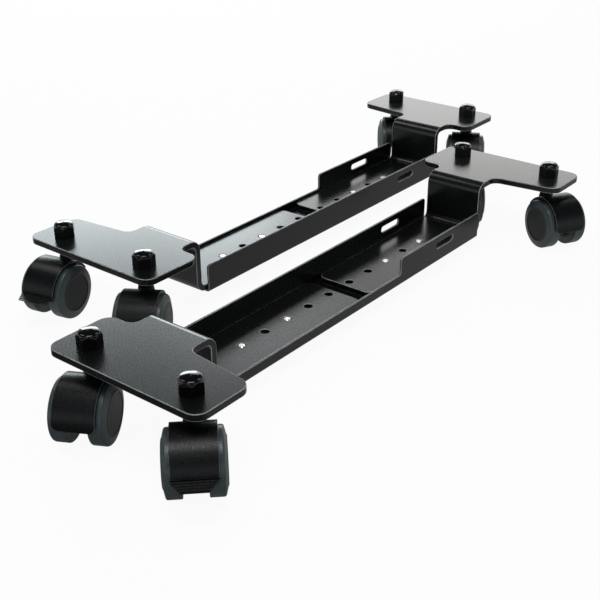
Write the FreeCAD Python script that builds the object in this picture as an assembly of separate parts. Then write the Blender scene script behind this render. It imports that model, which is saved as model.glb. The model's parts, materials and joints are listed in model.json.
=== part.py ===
import FreeCAD, Part
import math
import os

# Pair of low piano dollies. Each carrier is a sheet channel with a bracket slid into either end, and
# each bracket stands on two twin wheel castors. The two carriers are mirror images of each other.
# Millimetres. +X runs along the channels, +Y from the front carrier to the rear one, +Z up.
# The origin is on the ground, in the middle of the footprint.

V = FreeCAD.Vector

# Pair
carrier_spacing = 132.5
carrier_stagger = 131.0

# Channel
channel_end_clearance = 1.7
channel_width = 67.0
channel_sheet = 2.0
channel_bend_inside = 0.8
low_flange_height = 11.0
tall_flange_height = 28.0
flange_step_place = 54.7
flange_step_radius = 2.5
flange_corner_radius = 4.0
strap_slot_margin = 50.3
strap_slot_length = 31.0
strap_slot_height = 6.5
strap_slot_below_edge = 9.9

# End bracket
bracket_sheet = 6.0
bracket_height = 54.0
bracket_bend_inside = 5.0
tongue_side_clearance = 0.8
tongue_spacing = 19.2
tongue_corner_radius = 8.0
tongue_hole_count = 5
tongue_hole_pitch = 30.0
tongue_hole_margin = 8.3
tray_length = 400.0
plate_depth = 92.2
plate_outer_reach = 98.3
plate_inner_reach = 57.1
neck_length_inner = 28.0
neck_length_outer = 29.5
plate_taper = 7.5
plate_corner_radius = 11.0
plate_notch_radius = 9.0
castor_inset_front = 22.0
castor_inset_outer = 26.1
castor_inset_inner = 25.6

# Length setting of each bracket, outward from the nominal tray length
settings = {"front_left": -4.1, "front_right": 0.4, "rear_left": 4.3, "rear_right": -1.2}
setting_inward = 6.0
setting_outward = 24.0

# Clamp screws, in the third and the fifth tongue hole from the middle
clamp_holes = (2, 4)
screw_diameter = 8.0
screw_thread_clearance = 0.05
screw_slot_clearance = 0.4
screw_head_diameter = 14.0
screw_head_height = 4.4
screw_point_chamfer = 1.2

# Castor stem, lock nut and nut cap
castor_height = 63.5
stem_diameter = 8.0
stem_collar_diameter = 12.5
stem_collar_height = 1.5
stem_pin_length = 22.0
stem_above_plate = 9.5
stem_plate_clearance = 0.1
nut_flats = 13.0
nut_height = 6.5
nut_thread_clearance = 0.05
cap_flats = 17.7
cap_wall = 2.2
cap_height = 13.4
cap_corner_height = 9.2
cap_shoulder_height = 10.9
cap_edge_width = 1.65
cap_edge_height = 1.6
cap_clearance = 0.1

# Castor
wheel_diameter = 50.0
wheel_gap = 18.4
castor_width = 46.0
castor_trail = 20.0
tread_thickness = 7.0
tread_flat = 10.5
tread_shoulder_width = 1.1
tread_shoulder_drop = 0.7
disc_dish = 0.6
disc_dish_radius = 15.5
disc_rim = 0.8
hub_radius = 5.5
core_web = 3.5
core_rim = 2.4
axle_diameter = 6.0
axle_inset = 4.5
running_clearance = 0.05
side_clearance = 0.3
hood_radius = 28.2
hood_thickness = 2.2
hood_width = 33.4
hood_front_angle = 150.0
hood_low_angle = -2.5
hood_low_angle_braked = 11.0
hood_corner_radius = 6.0
web_thickness = 5.0
web_front_drop = 2.0
web_foot_drop = 10.0
web_foot_half = 8.0
web_rear_reach = 20.0
web_rear_rise = 15.0
web_corner_radius = 3.0
boss_diameter = 13.0
neck_diameter = 12.5
neck_flare = 1.5
neck_flare_start = 1.0
neck_flare_length = 9.0
neck_foot = 2.5
neck_gap = 0.1

# Brake pedal, its tip and root measured from the axle
brake_seam = 0.4
brake_tip_reach = 42.0
brake_tip_rise = 5.5
brake_tip_width = 19.0
brake_tip_thickness = 1.3
brake_root_reach = 29.0
brake_root_rise = 2.6
brake_shoe_radius = 27.0
brake_shoe_angle = 3.0
brake_rib_count = 4
brake_rib_depth = 0.5
brake_pivot_radius = 15.0
brake_pivot_angle = 35.0
brake_pin_diameter = 3.0
brake_eye_radius = 4.0
brake_cheek_thickness = 3.2

# Swivel of each castor at rest, degrees from +X to the side that the wheels trail to
castor_swivel = {
    "front_left_outer": -136.0,
    "front_left_inner": -151.5,
    "front_right_outer": -120.0,
    "front_right_inner": -142.0,
    "rear_left_outer": -167.0,
    "rear_left_inner": -147.0,
    "rear_right_outer": -140.0,
    "rear_right_inner": -150.0,
}
braked_castors = ("front_left_outer", "rear_left_outer")

# Turn of each nut and its cap, degrees
cap_turn = {
    "front_left_outer": 48.0,
    "front_left_inner": 18.0,
    "front_right_outer": 8.0,
    "front_right_inner": 40.0,
    "rear_left_outer": 48.0,
    "rear_left_inner": 18.0,
    "rear_right_outer": 30.0,
    "rear_right_inner": 5.0,
}

# Sizes that follow
plate_top = castor_height + bracket_sheet
tongue_bottom = plate_top - bracket_height
tongue_top = tongue_bottom + bracket_sheet
channel_bottom = tongue_bottom - channel_sheet
strip_width = channel_width - 2 * channel_sheet - 2 * tongue_side_clearance
bend_outside = bracket_bend_inside + bracket_sheet
castor_place = plate_depth - castor_inset_front
castor_offset = {"outer": plate_outer_reach - castor_inset_outer,
                 "inner": castor_inset_inner - plate_inner_reach}
tray_half = tray_length / 2
channel_length = tray_length - 2 * channel_end_clearance
tongue_length = (tray_length - tongue_spacing) / 2
strap_slot_start = channel_length / 2 - strap_slot_margin - strap_slot_length
first_hole = tray_half - tongue_length + tongue_hole_margin
hole_places = [first_hole + i * tongue_hole_pitch for i in range(tongue_hole_count)]
axle_height = wheel_diameter / 2
wheel_inner_face = wheel_gap / 2
wheel_outer_face = castor_width / 2
axle_reach = wheel_outer_face - axle_inset
hood_inside = hood_radius - hood_thickness
neck_top = castor_height - stem_collar_height - neck_gap
socket_bottom = castor_height - stem_collar_height - stem_pin_length - neck_gap

carriers = {"front": -1, "rear": 1}
ends = {"left": -1, "right": 1}


def outline(points):
    """Closed wire in the XY plane through (x, y, radius), each corner rounded by its radius."""
    corners = [V(x, y, 0) for x, y, radius in points]
    radii = [radius for x, y, radius in points]
    starts, stops, middles = [], [], []
    count = len(corners)
    for i in range(count):
        here = corners[i]
        back = (corners[i - 1] - here).normalize()
        ahead = (corners[(i + 1) % count] - here).normalize()
        half = back.getAngle(ahead) / 2
        reach = radii[i] / math.tan(half)
        starts.append(here + back * reach)
        stops.append(here + ahead * reach)
        inward = (back + ahead).normalize()
        middles.append(here + inward * (radii[i] / math.sin(half) - radii[i]))
    edges = []
    for i in range(count):
        if radii[i] > 0:
            edges.append(Part.Arc(starts[i], middles[i], stops[i]).toShape())
        following = starts[(i + 1) % count]
        if (following - stops[i]).Length > 1e-6:
            edges.append(Part.LineSegment(stops[i], following).toShape())
    return Part.Wire(edges)


def plan_prism(points, bottom, height):
    """Prism over an outline in plan."""
    prism = Part.Face(outline(points)).extrude(V(0, 0, height))
    prism.translate(V(0, 0, bottom))
    return prism


def side_prism(points, width):
    """Prism across Y, centred, over an outline given as (x, z, radius)."""
    prism = Part.Face(outline(points)).extrude(V(0, 0, width))
    prism.translate(V(0, 0, -width / 2))
    prism.rotate(V(0, 0, 0), V(1, 0, 0), 90)
    return prism


def pillar(x, y, bottom, top, radius):
    return Part.makeCylinder(radius, top - bottom, V(x, y, bottom))


def across(x, z, start, stop, radius):
    """Cylinder along Y."""
    return Part.makeCylinder(radius, stop - start, V(x, start, z), V(0, 1, 0))


def hexagon(flats, bottom, height):
    corner = flats / math.sqrt(3)
    points = [(corner * math.cos(math.radians(60 * i)), corner * math.sin(math.radians(60 * i)), 0)
              for i in range(6)]
    return plan_prism(points, bottom, height)


def turned(points):
    """Solid of revolution about Z from a half section of (radius, height)."""
    wire = Part.makePolygon([V(r, 0, z) for r, z in points + points[:1]])
    return Part.Face(wire).revolve(V(0, 0, 0), V(0, 0, 1), 360)


def slot(start, stop, radius, depth_start, depth):
    """Solid with round ends along X, in plan, to cut a slot with."""
    points = [(start, -radius, radius), (stop, -radius, radius), (stop, radius, radius),
              (start, radius, radius)]
    return plan_prism(points, depth_start, depth)


def channel():
    """Channel of a carrier whose outer side is +Y: floor, tall inner flange, stepped outer flange."""
    half, half_width = channel_length / 2, channel_width / 2
    bend = channel_bend_inside
    tall_top = channel_bottom + tall_flange_height
    low_top = channel_bottom + low_flange_height
    section = [(-half_width, tall_top, 0), (-half_width, channel_bottom, bend + channel_sheet),
               (half_width, channel_bottom, bend + channel_sheet), (half_width, tall_top, 0),
               (half_width - channel_sheet, tall_top, 0),
               (half_width - channel_sheet, channel_bottom + channel_sheet, bend),
               (channel_sheet - half_width, channel_bottom + channel_sheet, bend),
               (channel_sheet - half_width, tall_top, 0)]
    body = side_prism(section, channel_length)
    body.rotate(V(0, 0, 0), V(0, 0, 1), 90)
    corner = flange_corner_radius
    step = flange_step_radius
    cut_width = 2 * channel_sheet
    past = half + corner
    above = tall_top + corner
    step_cut = side_prism([(-past, low_top, 0), (flange_step_place, low_top, step),
                           (flange_step_place, above, 0), (-past, above, 0)], cut_width)
    step_cut.translate(V(0, half_width, 0))
    body = body.cut(step_cut)
    edges = [e for e in body.Edges if is_top_corner(e, half, tall_top, flange_step_place)]
    body = body.makeFillet(corner, edges)
    slot_radius = strap_slot_height / 2
    strap = slot(strap_slot_start, strap_slot_start + strap_slot_length, slot_radius,
                 -channel_width, 2 * channel_width)
    strap.rotate(V(0, 0, 0), V(1, 0, 0), 90)
    strap.translate(V(0, 0, tall_top - strap_slot_below_edge))
    body = body.cut(strap)
    radius = screw_diameter / 2 + screw_slot_clearance
    for side in ends.values():
        for hole in clamp_holes:
            place = hole_places[hole]
            start, stop = place - setting_inward - radius, place + setting_outward + radius
            cutter = slot(min(side * start, side * stop), max(side * start, side * stop), radius,
                          channel_bottom - channel_sheet, 3 * channel_sheet)
            body = body.cut(cutter)
    return body


def is_top_corner(edge, half, tall_top, step_place):
    """True for the short edges across a flange at the end of its tall top."""
    box = edge.BoundBox
    across_flange = abs(box.YLength - channel_sheet) < 1e-6 and box.XLength < 1e-6
    at_place = any(abs(box.XMin - x) < 1e-6 for x in (-half, half, step_place))
    return across_flange and at_place and box.ZLength < 1e-6 and abs(box.ZMin - tall_top) < 1e-6


def bracket(setting):
    """Bracket of the +X end of a carrier whose outer side is +Y."""
    half = strip_width / 2
    bend, inside = bend_outside, bracket_bend_inside
    profile = [(bend, plate_top, 0), (0, plate_top, bend), (0, tongue_top, inside),
               (-tongue_length, tongue_top, 0), (-tongue_length, tongue_bottom, 0),
               (bracket_sheet, tongue_bottom, bend), (bracket_sheet, castor_height, inside),
               (bend, castor_height, 0)]
    strip = side_prism(profile, strip_width)
    tongue_end = [e for e in strip.Edges
                  if abs(e.BoundBox.XMax + tongue_length) < 1e-6 and e.BoundBox.YLength < 1e-6]
    strip = strip.makeFillet(tongue_corner_radius, tongue_end)
    corner, notch = plate_corner_radius, plate_notch_radius
    plate = plan_prism([(bend, -half, 0), (neck_length_inner, -half, notch),
                        (neck_length_inner, -plate_inner_reach, corner),
                        (plate_depth, -plate_inner_reach, corner),
                        (plate_depth, plate_outer_reach, corner),
                        (neck_length_outer + plate_taper, plate_outer_reach, corner),
                        (neck_length_outer, half, notch), (bend, half, 0)],
                       castor_height, bracket_sheet)
    body = strip.fuse(plate).removeSplitter()
    tapped = screw_diameter / 2 + screw_thread_clearance
    for place in hole_places:
        body = body.cut(pillar(place - tray_half, 0, channel_bottom, plate_top, tapped))
    bore = stem_diameter / 2 + stem_plate_clearance
    for side in castor_offset.values():
        body = body.cut(pillar(castor_place, side, tongue_top, plate_top + 1, bore))
    body.translate(V(tray_half + setting, 0, 0))
    return body


def clamp_screws(setting):
    """Two screws from below, through the floor slots into the tongue, their points at its top."""
    radius, head = screw_diameter / 2, screw_head_diameter / 2
    chamfer = screw_point_chamfer
    low = channel_bottom - screw_head_height
    section = [(0, low), (head * 0.6, low), (head, low + screw_head_height / 2),
               (head, channel_bottom), (radius, channel_bottom), (radius, tongue_top - chamfer),
               (radius - chamfer, tongue_top), (0, tongue_top)]
    screws = []
    for hole in clamp_holes:
        screw = turned(section)
        screw.translate(V(hole_places[hole] + setting, 0, 0))
        screws.append(screw)
    return Part.makeCompound(screws)


def on_stems(make, carrier, end):
    """One piece on each of the two castor axes of a bracket, turned as the cap there is."""
    pieces = []
    for castor in castor_offset:
        piece = make()
        piece.rotate(V(0, 0, 0), V(0, 0, 1), cap_turn[carrier + "_" + end + "_" + castor])
        piece.translate(stem_place(carrier, end, castor))
        pieces.append(piece)
    return Part.makeCompound(pieces)


def stem():
    """Threaded stem with a collar under the plate and a plain pin for the castor's socket."""
    radius, collar = stem_diameter / 2, stem_collar_diameter / 2
    collar_low = castor_height - stem_collar_height
    top = plate_top + stem_above_plate
    return turned([(0, collar_low - stem_pin_length), (radius, collar_low - stem_pin_length),
                   (radius, collar_low), (collar, collar_low), (collar, castor_height),
                   (radius, castor_height), (radius, top - 1), (radius - 1, top), (0, top)])


def lock_nut():
    radius = stem_diameter / 2 + nut_thread_clearance
    nut = hexagon(nut_flats, plate_top, nut_height)
    return nut.cut(pillar(0, 0, plate_top - 1, plate_top + nut_height + 1, radius))


def nut_cap():
    """Hexagonal cap, rounded off at its edge and crowned, hollow over the nut and the stem's end."""
    corner, face = cap_flats / math.sqrt(3), cap_flats / 2
    crown = face - cap_edge_width
    crown_height = cap_shoulder_height + cap_edge_height
    crown_rise = cap_height - crown_height
    low, high = V(corner, 0, 0), V(corner, 0, cap_corner_height)
    shoulder, rim = V(face, 0, cap_shoulder_height), V(crown, 0, crown_height)
    on_edge = V(face - cap_edge_width * 0.33, 0, cap_shoulder_height + cap_edge_height * 0.62)
    on_crown = V(crown / 2, 0, crown_height + crown_rise * 0.75)
    foot, top = V(0, 0, 0), V(0, 0, cap_height)
    edges = [Part.LineSegment(foot, low).toShape(),
             Part.LineSegment(low, high).toShape(),
             Part.LineSegment(high, shoulder).toShape(),
             Part.Arc(shoulder, on_edge, rim).toShape(),
             Part.Arc(rim, on_crown, top).toShape(),
             Part.LineSegment(top, foot).toShape()]
    envelope = Part.Face(Part.Wire(edges)).revolve(V(0, 0, 0), V(0, 0, 1), 360)
    shell = hexagon(cap_flats, 0, cap_height).common(envelope)
    pocket = hexagon(cap_flats - 2 * cap_wall + cap_clearance, 0, nut_height + cap_clearance)
    bore = pillar(0, 0, 0, stem_above_plate + 1, stem_diameter / 2 + 2 * cap_clearance)
    shell = shell.cut(pocket.fuse(bore))
    shell.translate(V(0, 0, plate_top))
    return shell


def hood(braked):
    """Castor body: a curved hood over both treads, a web, an axle boss and the neck with its socket.

    The stem axis is Z, the wheels trail to +X and the axle lies along Y.
    """
    low_angle = hood_low_angle_braked if braked else hood_low_angle
    x, z = castor_trail, axle_height
    half = hood_width / 2
    ring = across(x, z, -half, half, hood_radius).cut(across(x, z, -half, half, hood_inside))
    fan = [V(x, 0, z)]
    span = hood_front_angle - low_angle
    spokes = 4
    far = 2 * hood_radius
    for i in range(spokes + 1):
        angle = math.radians(low_angle + span * i / spokes)
        fan.append(V(x + far * math.cos(angle), 0, z + far * math.sin(angle)))
    sector = Part.Face(Part.makePolygon(fan + fan[:1])).extrude(V(0, hood_width, 0))
    sector.translate(V(0, -half, 0))
    shell = ring.common(sector)
    if not braked:
        for side in (-1, 1):
            shell = shell.cut(corner_cutter(side * half, side, low_angle))
    reach = hood_inside + hood_thickness / 2
    corner, foot = web_corner_radius, web_foot_half
    profile = [(x - reach, z - web_front_drop, 0), (x - foot, z - web_foot_drop, corner),
               (x + foot, z - web_foot_drop, corner), (x + web_rear_reach, z + web_rear_rise, corner),
               (x + reach, z + reach, 0), (x - reach, z + reach, 0)]
    web = side_prism(profile, web_thickness).common(across(x, z, -half, half, reach))
    boss_half = wheel_inner_face - side_clearance
    boss = across(x, z, -boss_half, boss_half, boss_diameter / 2)
    radius = neck_diameter / 2
    flare_top = z + hood_radius
    foot = socket_bottom - neck_foot
    neck = turned([(0, foot), (radius, foot), (radius + neck_flare, socket_bottom + neck_flare_start),
                   (radius + neck_flare, flare_top - neck_flare_length), (radius, flare_top),
                   (radius, neck_top), (0, neck_top)])
    body = shell.fuse([web, boss, neck])
    body = body.cut(pillar(0, 0, socket_bottom, neck_top + 1, stem_diameter / 2 + running_clearance))
    body = body.cut(across(x, z, -half, half, axle_diameter / 2))
    if braked:
        px, pz = brake_pivot()
        body = body.cut(across(px, pz, -half, half, brake_pin_diameter / 2))
    return body


def corner_cutter(edge, side, low_angle):
    """Cuts one rear lower corner of the hood round; edge is the hood's side face in Y."""
    r = hood_corner_radius
    block = Part.makeBox(hood_thickness * 4, r, r, V(hood_radius - 3 * hood_thickness, -r, 0))
    rod = Part.makeCylinder(r, hood_radius * 2, V(0, -r, r), V(1, 0, 0))
    cutter = block.cut(rod)
    if side < 0:
        cutter = cutter.mirror(V(0, 0, 0), V(0, 1, 0))
    cutter.rotate(V(0, 0, 0), V(0, 1, 0), -low_angle)
    cutter.translate(V(castor_trail, edge, axle_height))
    return cutter


def axle():
    return across(castor_trail, axle_height, -axle_reach, axle_reach, axle_diameter / 2)


def wheel(side):
    """One wheel: a moulded core, open on its inner side, with a soft tread bonded round it."""
    radius = wheel_diameter / 2
    core = radius - tread_thickness
    flat_end = wheel_inner_face + tread_flat
    bevel_end = wheel_outer_face - disc_dish
    disc_radius = core - disc_rim
    tyre = wheel_ring([(core, wheel_inner_face), (radius, wheel_inner_face), (radius, flat_end),
                       (radius - tread_shoulder_drop, flat_end + tread_shoulder_width),
                       (core, bevel_end)])
    bore = axle_diameter / 2 + running_clearance
    bore_end = axle_reach + side_clearance
    pocket_end = bevel_end - core_web
    rim = core - core_rim
    disc = wheel_ring([(bore, wheel_inner_face), (hub_radius, wheel_inner_face),
                       (hub_radius, pocket_end), (rim, pocket_end), (rim, wheel_inner_face),
                       (core, wheel_inner_face), (core, bevel_end), (disc_radius, wheel_outer_face),
                       (disc_dish_radius, wheel_outer_face - disc_dish), (0, wheel_outer_face),
                       (0, bore_end), (bore, bore_end)])
    pieces = []
    for piece in (disc, tyre):
        if side < 0:
            piece = piece.mirror(V(0, 0, 0), V(0, 1, 0))
        piece.translate(V(castor_trail, 0, axle_height))
        pieces.append(piece)
    return Part.makeCompound(pieces)


def wheel_ring(section):
    """Solid of revolution about Y from a half section of (radius, distance along Y)."""
    wire = Part.makePolygon([V(r, y, 0) for r, y in section + section[:1]])
    return Part.Face(wire).revolve(V(0, 0, 0), V(0, 1, 0), 360)


def brake_pivot():
    angle = math.radians(brake_pivot_angle)
    return (castor_trail + brake_pivot_radius * math.cos(angle),
            axle_height + brake_pivot_radius * math.sin(angle))


def polar(radius, angle):
    return (castor_trail + radius * math.cos(math.radians(angle)),
            axle_height + radius * math.sin(math.radians(angle)))


def brake_pedal():
    """Ribbed lever that stands out below the hood's rear edge, with a shoe over both treads.

    Two cheeks between the wheels carry it on the pivot pin.
    """
    top_angle = hood_low_angle_braked - math.degrees(brake_seam / hood_radius)
    root = polar(hood_radius, top_angle)
    tip = (castor_trail + brake_tip_reach, axle_height + brake_tip_rise)
    profile = [polar(brake_shoe_radius, top_angle), root]
    profile += rib_points(root, tip)
    profile += [tip, (tip[0] - brake_tip_thickness / 2, tip[1] - brake_tip_thickness),
                (castor_trail + brake_root_reach, axle_height + brake_root_rise),
                polar(brake_shoe_radius, brake_shoe_angle)]
    pedal = side_prism([(x, z, 0) for x, z in profile], hood_width)
    pedal = pedal.cut(across(castor_trail, axle_height, -hood_width, hood_width, brake_shoe_radius))
    for side in (-1, 1):
        pedal = pedal.cut(beside_pedal(side, root[0], tip[0]))
    for side in (-1, 1):
        pedal = pedal.fuse(brake_cheek(side, top_angle))
    px, pz = brake_pivot()
    hole = brake_pin_diameter / 2 + running_clearance
    return pedal.cut(across(px, pz, -hood_width, hood_width, hole))


def rib_points(root, tip):
    """Points of the grooves between the ribs, along the pedal's top from its root to its tip."""
    points = []
    for i in range(brake_rib_count):
        for share, depth in ((0.4, 0), (0.5, brake_rib_depth), (0.9, brake_rib_depth), (1.0, 0)):
            along = (i + share) / (brake_rib_count + 0.5)
            points.append((root[0] + (tip[0] - root[0]) * along,
                           root[1] + (tip[1] - root[1]) * along - depth))
    return points


def beside_pedal(side, start, stop):
    """Space beside the pedal, which narrows in plan from the hood's width to the tip's."""
    wide, narrow = side * hood_width / 2, side * brake_tip_width / 2
    past = stop + (stop - start)
    edge = narrow - (wide - narrow)
    return plan_prism([(start, wide, 0), (past, edge, 0), (past, 3 * wide, 0), (start, 3 * wide, 0)],
                      0, castor_height)


def brake_cheek(side, top_angle):
    """One cheek from the pivot's eye out to the shoe, clear of the hood's edge."""
    px, pz = brake_pivot()
    eye = brake_eye_radius
    inner = web_thickness / 2 + side_clearance
    reach = brake_shoe_radius + 0.2
    lower, upper = polar(reach, brake_shoe_angle + 0.5), polar(reach, top_angle - 4)
    cheek = side_prism([(px - eye, pz - eye, eye - 0.1), (lower[0], lower[1], 0),
                        (upper[0], upper[1], 0), (px + 2, pz + eye, 2),
                        (px - eye, pz + eye, eye - 0.1)], brake_cheek_thickness)
    cheek.translate(V(0, side * (inner + brake_cheek_thickness / 2), 0))
    return cheek


def brake_pin():
    px, pz = brake_pivot()
    reach = web_thickness / 2 + side_clearance + brake_cheek_thickness
    return across(px, pz, -reach, reach, brake_pin_diameter / 2)


def place_on_carrier(shape, carrier, end):
    """From the +X end of a carrier whose outer side is +Y to the end and the carrier named."""
    if ends[end] < 0:
        shape = shape.mirror(V(0, 0, 0), V(1, 0, 0))
    if carriers[carrier] < 0:
        shape = shape.mirror(V(0, 0, 0), V(0, 1, 0))
    shape.translate(carrier_centre(carrier))
    return shape


def carrier_centre(carrier):
    side = carriers[carrier]
    return V(side * carrier_stagger / 2, side * carrier_spacing / 2, 0)


def stem_place(carrier, end, castor):
    centre = carrier_centre(carrier)
    setting = settings[carrier + "_" + end]
    return V(centre.x + ends[end] * (tray_half + setting + castor_place),
             centre.y + carriers[carrier] * castor_offset[castor], 0)


def castor_nodes(name, place):
    """The hood, axle, wheels and any brake of one castor, turned to its swivel at rest."""
    braked = name in braked_castors
    nodes = {"hood": hood(braked), "axle": axle(), "wheel_a": wheel(-1), "wheel_b": wheel(1)}
    if braked:
        nodes["brake_pedal"] = brake_pedal()
        nodes["brake_pin"] = brake_pin()
    for shape in nodes.values():
        shape.rotate(V(0, 0, 0), V(0, 0, 1), castor_swivel[name])
        shape.translate(place)
    return {name + "_" + piece: shape for piece, shape in nodes.items()}


def model():
    nodes = {}
    for carrier in carriers:
        tray = channel()
        nodes[carrier + "_channel"] = place_on_carrier(tray, carrier, "right")
        for end in ends:
            corner = carrier + "_" + end
            setting = settings[corner]
            nodes[corner + "_bracket"] = place_on_carrier(bracket(setting), carrier, end)
            nodes[corner + "_clamp_screws"] = place_on_carrier(clamp_screws(setting), carrier, end)
            for piece, make in (("castor_stems", stem), ("lock_nuts", lock_nut), ("nut_caps", nut_cap)):
                nodes[corner + "_" + piece] = on_stems(make, carrier, end)
            for castor in castor_offset:
                name = corner + "_" + castor
                nodes.update(castor_nodes(name, stem_place(carrier, end, castor)))
    return nodes


def main():
    os.makedirs("parts", exist_ok=True)
    nodes = model()
    box = FreeCAD.BoundBox()
    for shape in nodes.values():
        box.add(shape.optimalBoundingBox(False, False))
    home = V(-(box.XMin + box.XMax) / 2, -(box.YMin + box.YMax) / 2, -box.ZMin)
    for name, shape in nodes.items():
        shape.translate(home)
        solids = shape.Solids
        if not solids or not all(solid.isValid() for solid in solids):
            raise ValueError("bad solid in " + name)
        shape.exportStep("parts/" + name + ".step")
    print(len(nodes), "nodes, moved home by", [round(v, 3) for v in home])


main()
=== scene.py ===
import json
import math

import bmesh
import bpy
from mathutils import Matrix, Vector

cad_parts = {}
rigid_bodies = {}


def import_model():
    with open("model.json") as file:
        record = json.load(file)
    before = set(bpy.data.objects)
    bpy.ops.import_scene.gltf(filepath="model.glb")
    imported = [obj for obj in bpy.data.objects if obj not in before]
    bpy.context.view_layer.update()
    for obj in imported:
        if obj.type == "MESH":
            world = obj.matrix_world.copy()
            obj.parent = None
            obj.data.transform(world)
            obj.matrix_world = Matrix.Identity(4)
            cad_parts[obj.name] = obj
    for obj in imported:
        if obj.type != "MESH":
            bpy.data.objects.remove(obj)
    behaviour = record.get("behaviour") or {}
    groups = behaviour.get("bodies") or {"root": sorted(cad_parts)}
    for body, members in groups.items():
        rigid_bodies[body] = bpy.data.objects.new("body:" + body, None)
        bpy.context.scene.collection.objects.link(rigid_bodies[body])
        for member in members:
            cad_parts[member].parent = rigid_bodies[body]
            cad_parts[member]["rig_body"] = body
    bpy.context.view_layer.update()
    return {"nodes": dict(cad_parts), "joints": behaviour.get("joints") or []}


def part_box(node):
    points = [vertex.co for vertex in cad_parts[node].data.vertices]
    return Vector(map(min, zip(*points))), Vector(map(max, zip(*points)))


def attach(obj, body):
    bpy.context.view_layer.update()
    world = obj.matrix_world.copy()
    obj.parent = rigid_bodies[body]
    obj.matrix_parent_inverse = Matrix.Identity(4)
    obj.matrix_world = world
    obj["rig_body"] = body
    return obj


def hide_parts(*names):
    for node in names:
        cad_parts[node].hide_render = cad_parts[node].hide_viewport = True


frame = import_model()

# Looks of a pair of low piano dollies: satin black sheet metal, moulded twin wheel castors, white studio.
# Metres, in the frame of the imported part.

MM = 0.001

# The photograph's camera, from the middle of the front channel
CAMERA_FROM_FRONT_CHANNEL = Vector((-0.6967, -0.5114, 0.4528))
CAMERA_HEADING = math.radians(38.58)
CAMERA_PITCH = math.radians(-27.16)
CAMERA_ROLL = math.radians(-0.29)
CAMERA_LENS = 62.75
CAMERA_SENSOR = 36.0

# Studio: sine of the elevation where the pale horizon ends and where the dim ceiling starts
HORIZON_TOP = 0.20
CEILING_START = 0.50
HORIZON_COLOUR = (0.86, 0.94, 0.97)
CEILING_COLOUR = (0.05, 0.052, 0.054)
COOL = (0.90, 0.98, 1.0)
WARM = (1.0, 0.985, 0.955)

# Floor: how much of it is glow to the camera, where 1 would leave no shadow
FLOOR_HALF = 6.0
FLOOR_DROP = 0.05 * MM
FLOOR_GREY = 0.9
FLOOR_ROUGHNESS = 0.9
FLOOR_GLOW = 0.94

# The floor's glow in reflections, a painted reflection: dim beyond the left ends and pale from there along X.
# The glow of the far floor is added between the two FLOOR_FAR distances from the origin.
FLOOR_DIM_PLACE = -0.36
FLOOR_PALE_PLACE = -0.24
FLOOR_DIM = 0.1
FLOOR_PALE = 0.45
FLOOR_FAR = (0.55, 0.95)
FLOOR_FAR_GLOW = 0.6

# Edges
SHEET_EDGE_ROUND = 0.6 * MM
MOULD_EDGE_ROUND = 0.3 * MM
PEDAL_EDGE_ROUND = 0.12 * MM
CAP_EDGE_ROUND = 0.4 * MM
SCREW_EDGE_ROUND = 0.25 * MM
EDGE_SEGMENTS = 2
SHARP_ANGLE = math.radians(32)
MERGE_DISTANCE = 0.002 * MM
FLAT_ANGLE = math.radians(0.6)

# Wheel profile: radii, and distances outward from the middle of the castor
WHEEL_STEPS = 96
WHEEL_CORNER_STEPS = 5
WHEEL_CORNER = 1.0 * MM
WHEEL_SMOOTH_ANGLE = math.radians(40)
ON_AXIS = 1e-7
WHEEL_RADIUS = 25.0 * MM
WHEEL_INNER_FACE = 9.2 * MM
WHEEL_OUTER_FACE = 23.0 * MM
BORE_RADIUS = 3.05 * MM
BORE_END = 18.8 * MM
HUB_RADIUS = 5.5 * MM
CORE_RADIUS = 18.0 * MM
CORE_RIM_INSIDE = 15.6 * MM
CORE_WEB = 18.9 * MM
TREAD_FLAT_END = 19.7 * MM
TREAD_SHOULDER = (24.3 * MM, 20.8 * MM)
TREAD_SIDE_END = 22.4 * MM
DISC_RIM_RADIUS = 17.2 * MM
DISC_DISH_RADIUS = 15.5 * MM
DISC_DISH = 22.4 * MM


def nodes_ending(ending):
    return {name: obj for name, obj in frame["nodes"].items() if name.endswith(ending)}


def body_of(node):
    return frame["nodes"][node]["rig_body"]


# Materials

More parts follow.
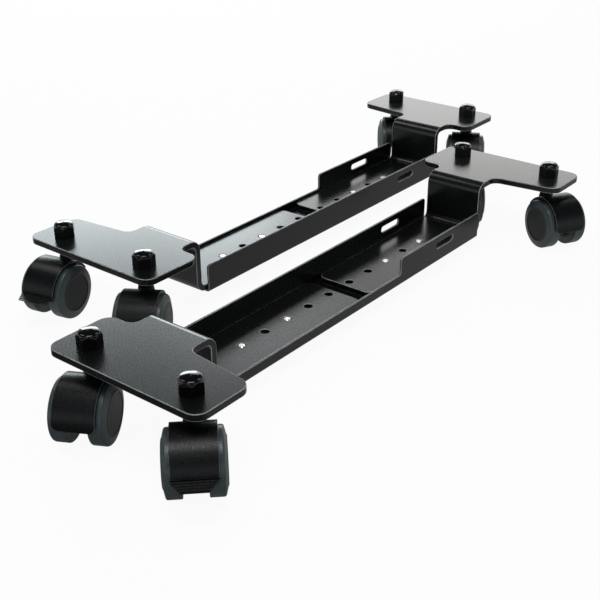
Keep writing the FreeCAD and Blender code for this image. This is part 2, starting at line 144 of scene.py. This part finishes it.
class Shader:
    """A node material with one principled surface, and short ways to feed it."""

    def __init__(self, name):
        self.material = bpy.data.materials.new(name)
        self.material.use_nodes = True
        self.tree = self.material.node_tree
        self.surface = self.tree.nodes["Principled BSDF"]
        self.place = self.add("ShaderNodeTexCoord").outputs["Object"]

    def add(self, kind, **settings):
        node = self.tree.nodes.new(kind)
        for key, value in settings.items():
            setattr(node, key, value)
        return node

    def link(self, source, target):
        self.tree.links.new(source, target)

    def noise(self, scale, detail=3.0, roughness=0.5, stretch=None):
        node = self.add("ShaderNodeTexNoise")
        node.inputs["Scale"].default_value = scale
        node.inputs["Detail"].default_value = detail
        node.inputs["Roughness"].default_value = roughness
        place = self.place
        if stretch:
            mapping = self.add("ShaderNodeMapping")
            mapping.inputs["Scale"].default_value = stretch
            self.link(place, mapping.inputs["Vector"])
            place = mapping.outputs["Vector"]
        self.link(place, node.inputs["Vector"])
        return node.outputs["Fac"]

    def ramp(self, source, stops):
        """Colour ramp through (position, colour) stops; a plain number stands for a grey."""
        node = self.add("ShaderNodeValToRGB")
        band = node.color_ramp
        while len(band.elements) < len(stops):
            band.elements.new(0.5)
        for element, (position, colour) in zip(band.elements, stops):
            if isinstance(colour, (int, float)):
                colour = (colour, colour, colour)
            element.position = position
            element.color = (*colour, 1)
        self.link(source, node.inputs["Fac"])
        return node.outputs["Color"]

    def colour(self, source):
        self.link(source, self.surface.inputs["Base Color"])

    def roughness(self, source):
        self.link(source, self.surface.inputs["Roughness"])

    def bump(self, source, depth, strength=1.0):
        node = self.add("ShaderNodeBump")
        node.inputs["Distance"].default_value = depth
        node.inputs["Strength"].default_value = strength
        self.link(source, node.inputs["Height"])
        before = self.surface.inputs["Normal"].links
        if before:
            self.link(before[0].from_socket, node.inputs["Normal"])
        self.link(node.outputs["Normal"], self.surface.inputs["Normal"])

    def set(self, **values):
        for key, value in values.items():
            self.surface.inputs[key.replace("_", " ")].default_value = value


def powder_coat():
    """Satin black powder coat: a fine grain and slight broad unevenness over a smooth skin."""
    s = Shader("powder_coat")
    broad = s.noise(14, 3)
    s.colour(s.ramp(broad, [(0.3, (0.0026, 0.0029, 0.0031)), (0.7, (0.0038, 0.0041, 0.0043))]))
    grain = s.noise(1600, 3, 0.6)
    s.roughness(s.ramp(grain, [(0.3, 0.22), (0.7, 0.30)]))
    s.bump(grain, 0.01 * MM, 0.12)
    s.bump(s.noise(420, 2), 0.012 * MM, 0.10)
    s.set(Specular_IOR_Level=0.42)
    return s.material


def painted_highlight_coat():
    """The same coat along the rounded edges, painted pale: a painted highlight on the edges."""
    s = Shader("painted_highlight_coat")
    wear = s.noise(120, 4, 0.6)
    # painted highlight: a pale patchy grey on the edges stands for light caught by the rounded edges
    s.colour(s.ramp(wear, [(0.35, (0.19, 0.197, 0.202)), (0.65, (0.32, 0.33, 0.337))]))
    s.roughness(s.ramp(s.noise(900, 2), [(0.3, 0.25), (0.7, 0.36)]))
    s.bump(s.noise(1600, 2), 0.01 * MM, 0.12)
    return s.material


def zinc():
    """Bright zinc plate, mottled as plated screws are."""
    s = Shader("zinc_plate")
    patches = s.noise(900, 4)
    s.colour(s.ramp(patches, [(0.3, (0.7, 0.7, 0.69)), (0.7, (0.92, 0.92, 0.9))]))
    s.roughness(s.ramp(s.noise(2500, 2), [(0.3, 0.2), (0.7, 0.36)]))
    s.bump(s.noise(1500, 3), 0.03 * MM, 0.5)
    s.set(Metallic=1.0)
    return s.material


def gloss_cap():
    """Glossy black thermoplastic with a faint moulded waviness."""
    s = Shader("gloss_cap")
    s.colour(s.ramp(s.noise(60), [(0.3, 0.001), (0.7, 0.0018)]))
    s.roughness(s.ramp(s.noise(500), [(0.3, 0.03), (0.7, 0.06)]))
    s.bump(s.noise(160, 2), 0.03 * MM, 0.12)
    return s.material


def castor_plastic():
    """Matt black nylon with flow streaks round the hood and a spark-eroded grain."""
    s = Shader("castor_plastic")
    streak = s.noise(1500, 2, 0.6, stretch=(1, 1, 0.3))
    s.colour(s.ramp(streak, [(0.3, (0.0014, 0.0017, 0.0019)), (0.72, (0.0032, 0.0038, 0.0041))]))
    grain = s.noise(1100, 3, 0.65)
    s.roughness(s.ramp(streak, [(0.36, 0.24), (0.64, 0.48)]))
    s.bump(grain, 0.03 * MM, 0.3)
    s.bump(streak, 0.02 * MM, 0.4)
    s.set(Specular_IOR_Level=0.26)
    return s.material


def painted_highlight_plastic():
    """The hood's plastic along its edges, painted paler: a painted highlight on the edges."""
    s = Shader("painted_highlight_plastic")
    # painted highlight: a paler patchy grey on the hood's edges stands for light along them
    s.colour(s.ramp(s.noise(150, 4), [(0.35, (0.055, 0.062, 0.066)), (0.65, (0.10, 0.11, 0.116))]))
    s.roughness(s.ramp(s.noise(900, 2), [(0.3, 0.3), (0.7, 0.42)]))
    s.bump(s.noise(1400, 2), 0.02 * MM, 0.3)
    return s.material


def tread_rubber():
    """Soft blue-grey tread rubber with a dull skin."""
    s = Shader("tread_rubber")
    broad = s.noise(40, 4)
    s.colour(s.ramp(broad, [(0.3, (0.032, 0.044, 0.047)), (0.7, (0.043, 0.057, 0.060))]))
    s.roughness(s.ramp(s.noise(700, 3), [(0.3, 0.30), (0.7, 0.44)]))
    s.bump(s.noise(1300, 3), 0.04 * MM, 0.4)
    return s.material


def wheel_core():
    """Black moulded wheel disc, a little smoother than the hood."""
    s = Shader("wheel_core")
    s.colour(s.ramp(s.noise(50, 4), [(0.3, (0.0036, 0.0041, 0.0043)), (0.7, (0.0058, 0.0063, 0.0065))]))
    s.roughness(s.ramp(s.noise(600, 3), [(0.3, 0.36), (0.7, 0.48)]))
    s.bump(s.noise(1500, 2), 0.03 * MM, 0.4)
    s.set(Specular_IOR_Level=0.28)
    return s.material


def turned_steel():
    """Plain turned steel of the axles and the pedal's pin."""
    s = Shader("turned_steel")
    s.colour(s.ramp(s.noise(300, 3), [(0.3, 0.4), (0.7, 0.52)]))
    s.roughness(s.ramp(s.noise(1200, 3), [(0.3, 0.25), (0.7, 0.38)]))
    s.bump(s.noise(2000, 2), 0.02 * MM, 0.4)
    s.set(Metallic=1.0)
    return s.material


def dress(obj, material):
    obj.data.materials.clear()
    obj.data.materials.append(material)


# Pieces

def softened(node, width, materials):
    """The node's own form with its sharp edges rounded, to stand for the node.

    A second material goes on the rounded edges.
    """
    source = frame["nodes"][node]
    mesh = source.data.copy()
    mesh.name = node + "_soft"
    forget_normals(mesh)
    mesh.materials.clear()
    for material in materials:
        mesh.materials.append(material)
    work = bmesh.new()
    work.from_mesh(mesh)
    bmesh.ops.remove_doubles(work, verts=work.verts, dist=MERGE_DISTANCE)
    bmesh.ops.dissolve_limit(work, angle_limit=FLAT_ANGLE, verts=work.verts, edges=work.edges)
    work.to_mesh(mesh)
    work.free()
    piece = bpy.data.objects.new(node + "_soft", mesh)
    bpy.context.scene.collection.objects.link(piece)
    bevel = piece.modifiers.new("round_edges", "BEVEL")
    bevel.width = width
    bevel.segments = EDGE_SEGMENTS
    bevel.limit_method = "ANGLE"
    bevel.angle_limit = SHARP_ANGLE
    bevel.use_clamp_overlap = False
    bevel.material = len(materials) - 1
    shade_smooth(mesh)
    flat = piece.modifiers.new("flat_faces", "WEIGHTED_NORMAL")
    flat.keep_sharp = False
    bake_modifiers(piece)
    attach(piece, body_of(node))
    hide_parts(node)


def forget_normals(mesh):
    """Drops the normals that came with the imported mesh, which a new edge round would leave wrong."""
    normals = mesh.attributes.get("custom_normal")
    if normals:
        mesh.attributes.remove(normals)


def bake_modifiers(obj):
    bpy.context.view_layer.update()
    shown = obj.evaluated_get(bpy.context.evaluated_depsgraph_get())
    mesh = bpy.data.meshes.new_from_object(shown)
    obj.modifiers.clear()
    obj.data = mesh


def shade_smooth(mesh):
    mesh.polygons.foreach_set("use_smooth", [True] * len(mesh.polygons))


def lathe(name, rings, steps, materials):
    """Mesh of revolution about Y, from rings of (radius, y, material index of the band after it)."""
    work = bmesh.new()
    loops = []
    for radius, y, band in rings:
        if radius < ON_AXIS:
            loops.append([work.verts.new((0, y, 0))])
            continue
        loop = []
        for i in range(steps):
            angle = 2 * math.pi * i / steps
            loop.append(work.verts.new((radius * math.cos(angle), y, radius * math.sin(angle))))
        loops.append(loop)
    for (_, _, band), here, there in zip(rings, loops, loops[1:]):
        for i in range(steps):
            j = (i + 1) % steps
            corners = [here[i % len(here)], here[j % len(here)], there[j % len(there)], there[i % len(there)]]
            unique = []
            for corner in corners:
                if corner not in unique:
                    unique.append(corner)
            face = work.faces.new(unique)
            face.material_index = band
    bmesh.ops.recalc_face_normals(work, faces=work.faces)
    mesh = bpy.data.meshes.new(name)
    work.to_mesh(mesh)
    work.free()
    for material in materials:
        mesh.materials.append(material)
    return mesh


def rounded(points, radius, steps):
    """Rings for lathe from (radius, y, band, share) points, whose corners get that share of radius."""
    rings = []
    for i, (r, y, band, share) in enumerate(points):
        if not share:
            rings.append((r, y, band))
            continue
        here = Vector((r, y))
        back = Vector(points[i - 1][:2]) - here
        ahead = Vector(points[i + 1][:2]) - here
        reach = min(radius * share, back.length * 0.45, ahead.length * 0.45)
        start = here + back.normalized() * reach
        stop = here + ahead.normalized() * reach
        for k in range(steps + 1):
            t = k / steps
            p = start * (1 - t) ** 2 + here * 2 * t * (1 - t) + stop * t ** 2
            rings.append((p.x, p.y, band if k == steps else points[i - 1][2]))
    return rings


def wheel_mesh(materials):
    """One wheel about Y, its outer side to +Y, measured from the middle of the castor."""
    tread, core = 0, 1
    points = [(BORE_RADIUS, BORE_END, core, 0), (BORE_RADIUS, WHEEL_INNER_FACE, core, 0),
              (HUB_RADIUS, WHEEL_INNER_FACE, core, 0.2), (HUB_RADIUS, CORE_WEB, core, 0.3),
              (CORE_RIM_INSIDE, CORE_WEB, core, 0.5), (CORE_RIM_INSIDE, WHEEL_INNER_FACE, core, 0.2),
              (CORE_RADIUS, WHEEL_INNER_FACE, tread, 0), (WHEEL_RADIUS, WHEEL_INNER_FACE, tread, 0.6),
              (WHEEL_RADIUS, TREAD_FLAT_END, tread, 1.2), (*TREAD_SHOULDER, tread, 0.8),
              (CORE_RADIUS, TREAD_SIDE_END, core, 0.3), (DISC_RIM_RADIUS, WHEEL_OUTER_FACE, core, 0.5),
              (DISC_DISH_RADIUS, DISC_DISH, core, 0.5), (0.0, WHEEL_OUTER_FACE, core, 0)]
    rings = rounded(points, WHEEL_CORNER, WHEEL_CORNER_STEPS)
    return lathe("wheel", rings, WHEEL_STEPS, materials)


def add_wheels(materials):
    mesh = wheel_mesh(materials)
    shade_smooth(mesh)
    mesh.set_sharp_from_angle(angle=WHEEL_SMOOTH_ANGLE)
    for joint in frame["joints"]:
        if not joint["name"].endswith("_spin"):
            continue
        node = joint["name"][:-len("_spin")]
        axis = Vector(joint["axis"]).normalized()
        low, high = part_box(node.rsplit("_wheel_", 1)[0] + "_axle")
        middle = (low + high) / 2
        outward = axis if node.endswith("_b") else -axis
        up = Vector((0, 0, 1))
        side = outward.cross(up)
        turn = Matrix((side, outward, up)).transposed().to_4x4()
        piece = bpy.data.objects.new(node + "_turned", mesh)
        bpy.context.scene.collection.objects.link(piece)
        piece.matrix_world = Matrix.Translation(middle) @ turn
        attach(piece, body_of(node))
        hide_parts(node)


# Studio

def add_camera():
    low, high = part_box("front_channel")
    centre = (low + high) / 2
    centre.z = 0
    data = bpy.data.cameras.new("camera")
    data.lens = CAMERA_LENS
    data.sensor_width = CAMERA_SENSOR
    camera = bpy.data.objects.new("camera", data)
    bpy.context.scene.collection.objects.link(camera)
    turn = (Matrix.Rotation(CAMERA_HEADING - math.pi / 2, 4, "Z")
            @ Matrix.Rotation(CAMERA_PITCH + math.pi / 2, 4, "X")
            @ Matrix.Rotation(CAMERA_ROLL, 4, "Z"))
    camera.matrix_world = Matrix.Translation(centre + CAMERA_FROM_FRONT_CHANNEL) @ turn
    bpy.context.scene.camera = camera


def add_world():
    """White to the camera. On the object it is a pale horizon under a dim ceiling."""
    world = bpy.data.worlds.new("studio")
    bpy.context.scene.world = world
    world.use_nodes = True
    tree = world.node_tree
    room = tree.nodes["Background"]
    direction = tree.nodes.new("ShaderNodeTexCoord")
    parts = tree.nodes.new("ShaderNodeSeparateXYZ")
    tree.links.new(direction.outputs["Generated"], parts.inputs["Vector"])
    fade = tree.nodes.new("ShaderNodeValToRGB")
    low, high = fade.color_ramp.elements
    low.position, low.color = HORIZON_TOP, (*HORIZON_COLOUR, 1)
    high.position, high.color = CEILING_START, (*CEILING_COLOUR, 1)
    tree.links.new(parts.outputs["Z"], fade.inputs["Fac"])
    tree.links.new(fade.outputs["Color"], room.inputs["Color"])
    shown = tree.nodes.new("ShaderNodeBackground")
    shown.inputs["Color"].default_value = (1, 1, 1, 1)
    path = tree.nodes.new("ShaderNodeLightPath")
    mix = tree.nodes.new("ShaderNodeMixShader")
    tree.links.new(path.outputs["Is Camera Ray"], mix.inputs["Fac"])
    tree.links.new(room.outputs[0], mix.inputs[1])
    tree.links.new(shown.outputs[0], mix.inputs[2])
    tree.links.new(mix.outputs[0], tree.nodes["World Output"].inputs["Surface"])


def add_floor():
    """Floor that is white to the camera and still takes a shadow, with a painted reflection: its own glow
    strength in reflections, set by place.
    """
    half = FLOOR_HALF
    mesh = bpy.data.meshes.new("floor")
    mesh.from_pydata([(-half, -half, 0), (half, -half, 0), (half, half, 0), (-half, half, 0)], [],
                     [(0, 1, 2, 3)])
    floor = bpy.data.objects.new("floor", mesh)
    floor.location.z = -FLOOR_DROP
    bpy.context.scene.collection.objects.link(floor)
    material = bpy.data.materials.new("white_floor")
    material.use_nodes = True
    tree = material.node_tree
    matt = tree.nodes["Principled BSDF"]
    matt.inputs["Base Color"].default_value = (FLOOR_GREY, FLOOR_GREY, FLOOR_GREY, 1)
    matt.inputs["Roughness"].default_value = FLOOR_ROUGHNESS
    glow = tree.nodes.new("ShaderNodeEmission")
    path = tree.nodes.new("ShaderNodeLightPath")
    share = tree.nodes.new("ShaderNodeMath")
    share.operation = "MULTIPLY_ADD"
    share.inputs[1].default_value = FLOOR_GLOW
    tree.links.new(path.outputs["Is Camera Ray"], share.inputs[0])
    tree.links.new(path.outputs["Is Glossy Ray"], share.inputs[2])
    place = tree.nodes.new("ShaderNodeTexCoord")
    parts = tree.nodes.new("ShaderNodeSeparateXYZ")
    tree.links.new(place.outputs["Object"], parts.inputs["Vector"])
    painted_reflection_by_x = tree.nodes.new("ShaderNodeMapRange")
    painted_reflection_by_x.inputs["From Min"].default_value = FLOOR_DIM_PLACE
    painted_reflection_by_x.inputs["From Max"].default_value = FLOOR_PALE_PLACE
    painted_reflection_by_x.inputs["To Min"].default_value = FLOOR_DIM
    painted_reflection_by_x.inputs["To Max"].default_value = FLOOR_PALE
    tree.links.new(parts.outputs["X"], painted_reflection_by_x.inputs["Value"])
    distance = tree.nodes.new("ShaderNodeVectorMath")
    distance.operation = "LENGTH"
    tree.links.new(place.outputs["Object"], distance.inputs[0])
    far = tree.nodes.new("ShaderNodeMapRange")
    far.inputs["From Min"].default_value, far.inputs["From Max"].default_value = FLOOR_FAR
    far.inputs["To Max"].default_value = FLOOR_FAR_GLOW
    tree.links.new(distance.outputs["Value"], far.inputs["Value"])
    total = tree.nodes.new("ShaderNodeMath")
    tree.links.new(painted_reflection_by_x.outputs["Result"], total.inputs[0])
    tree.links.new(far.outputs["Result"], total.inputs[1])
    # painted reflection: glossy rays see the floor as a glow of this place-set strength instead of its lit
    # grey
    strength = tree.nodes.new("ShaderNodeMix")
    tree.links.new(path.outputs["Is Glossy Ray"], strength.inputs["Factor"])
    strength.inputs["A"].default_value = 1.0
    tree.links.new(total.outputs[0], strength.inputs["B"])
    tree.links.new(strength.outputs["Result"], glow.inputs["Strength"])
    mix = tree.nodes.new("ShaderNodeMixShader")
    tree.links.new(share.outputs[0], mix.inputs["Fac"])
    tree.links.new(matt.outputs[0], mix.inputs[1])
    tree.links.new(glow.outputs[0], mix.inputs[2])
    tree.links.new(mix.outputs[0], tree.nodes["Material Output"].inputs["Surface"])
    mesh.materials.append(material)


def add_softbox(name, azimuth, elevation, distance, size, brightness, colour=(1, 1, 1)):
    """Rectangular lamp aimed at the object; angles in degrees, brightness 1 is white to look at."""
    around, up = math.radians(azimuth), math.radians(elevation)
    place = Vector((math.cos(up) * math.cos(around), math.cos(up) * math.sin(around), math.sin(up)))
    data = bpy.data.lights.new(name, "AREA")
    data.shape = "RECTANGLE"
    data.size, data.size_y = size
    data.energy = brightness * math.pi * size[0] * size[1]
    data.color = colour
    lamp = bpy.data.objects.new(name, data)
    bpy.context.scene.collection.objects.link(lamp)
    lamp.location = place * distance
    lamp.rotation_euler = (-place).to_track_quat("-Z", "Y").to_euler()


def add_lights():
    add_softbox("back_left", 53, 18, 2.6, (1.1, 0.75), 7.0, COOL)
    add_softbox("back_right", 27, 17, 2.6, (1.1, 0.7), 2.7, WARM)
    add_softbox("back_upper", 42, 30, 2.6, (0.6, 0.35), 2.2)
    add_softbox("high_left", 100, 55, 2.2, (0.6, 0.6), 4.0)
    add_softbox("high_right", 0, 57, 2.2, (0.6, 0.6), 4.0)
    add_softbox("overhead", 215, 70, 2.0, (1.1, 0.7), 6.0)
    add_softbox("front_left", 200, 42, 2.2, (0.8, 0.8), 1.2, COOL)


def main():
    bpy.context.scene.view_settings.view_transform = "Standard"
    coat, bright, cap = powder_coat(), zinc(), gloss_cap()
    plastic, steel = castor_plastic(), turned_steel()
    # coat_edge and plastic_edge paint a highlight along the rounded edges
    coat_edge, plastic_edge = painted_highlight_coat(), painted_highlight_plastic()
    for ending in ("_channel", "_bracket"):
        for node in nodes_ending(ending):
            softened(node, SHEET_EDGE_ROUND, [coat, coat_edge])
    for node in nodes_ending("_hood"):
        softened(node, MOULD_EDGE_ROUND, [plastic, plastic_edge])
    for node in nodes_ending("_brake_pedal"):
        softened(node, PEDAL_EDGE_ROUND, [plastic])
    for node in nodes_ending("_nut_caps"):
        softened(node, CAP_EDGE_ROUND, [cap])
    for node in nodes_ending("_clamp_screws"):
        softened(node, SCREW_EDGE_ROUND, [bright])
    for ending in ("_castor_stems", "_lock_nuts"):
        for obj in nodes_ending(ending).values():
            dress(obj, bright)
    for ending in ("_axle", "_brake_pin"):
        for obj in nodes_ending(ending).values():
            dress(obj, steel)
    add_wheels([tread_rubber(), wheel_core()])
    add_camera()
    add_world()
    add_floor()
    add_lights()


main()
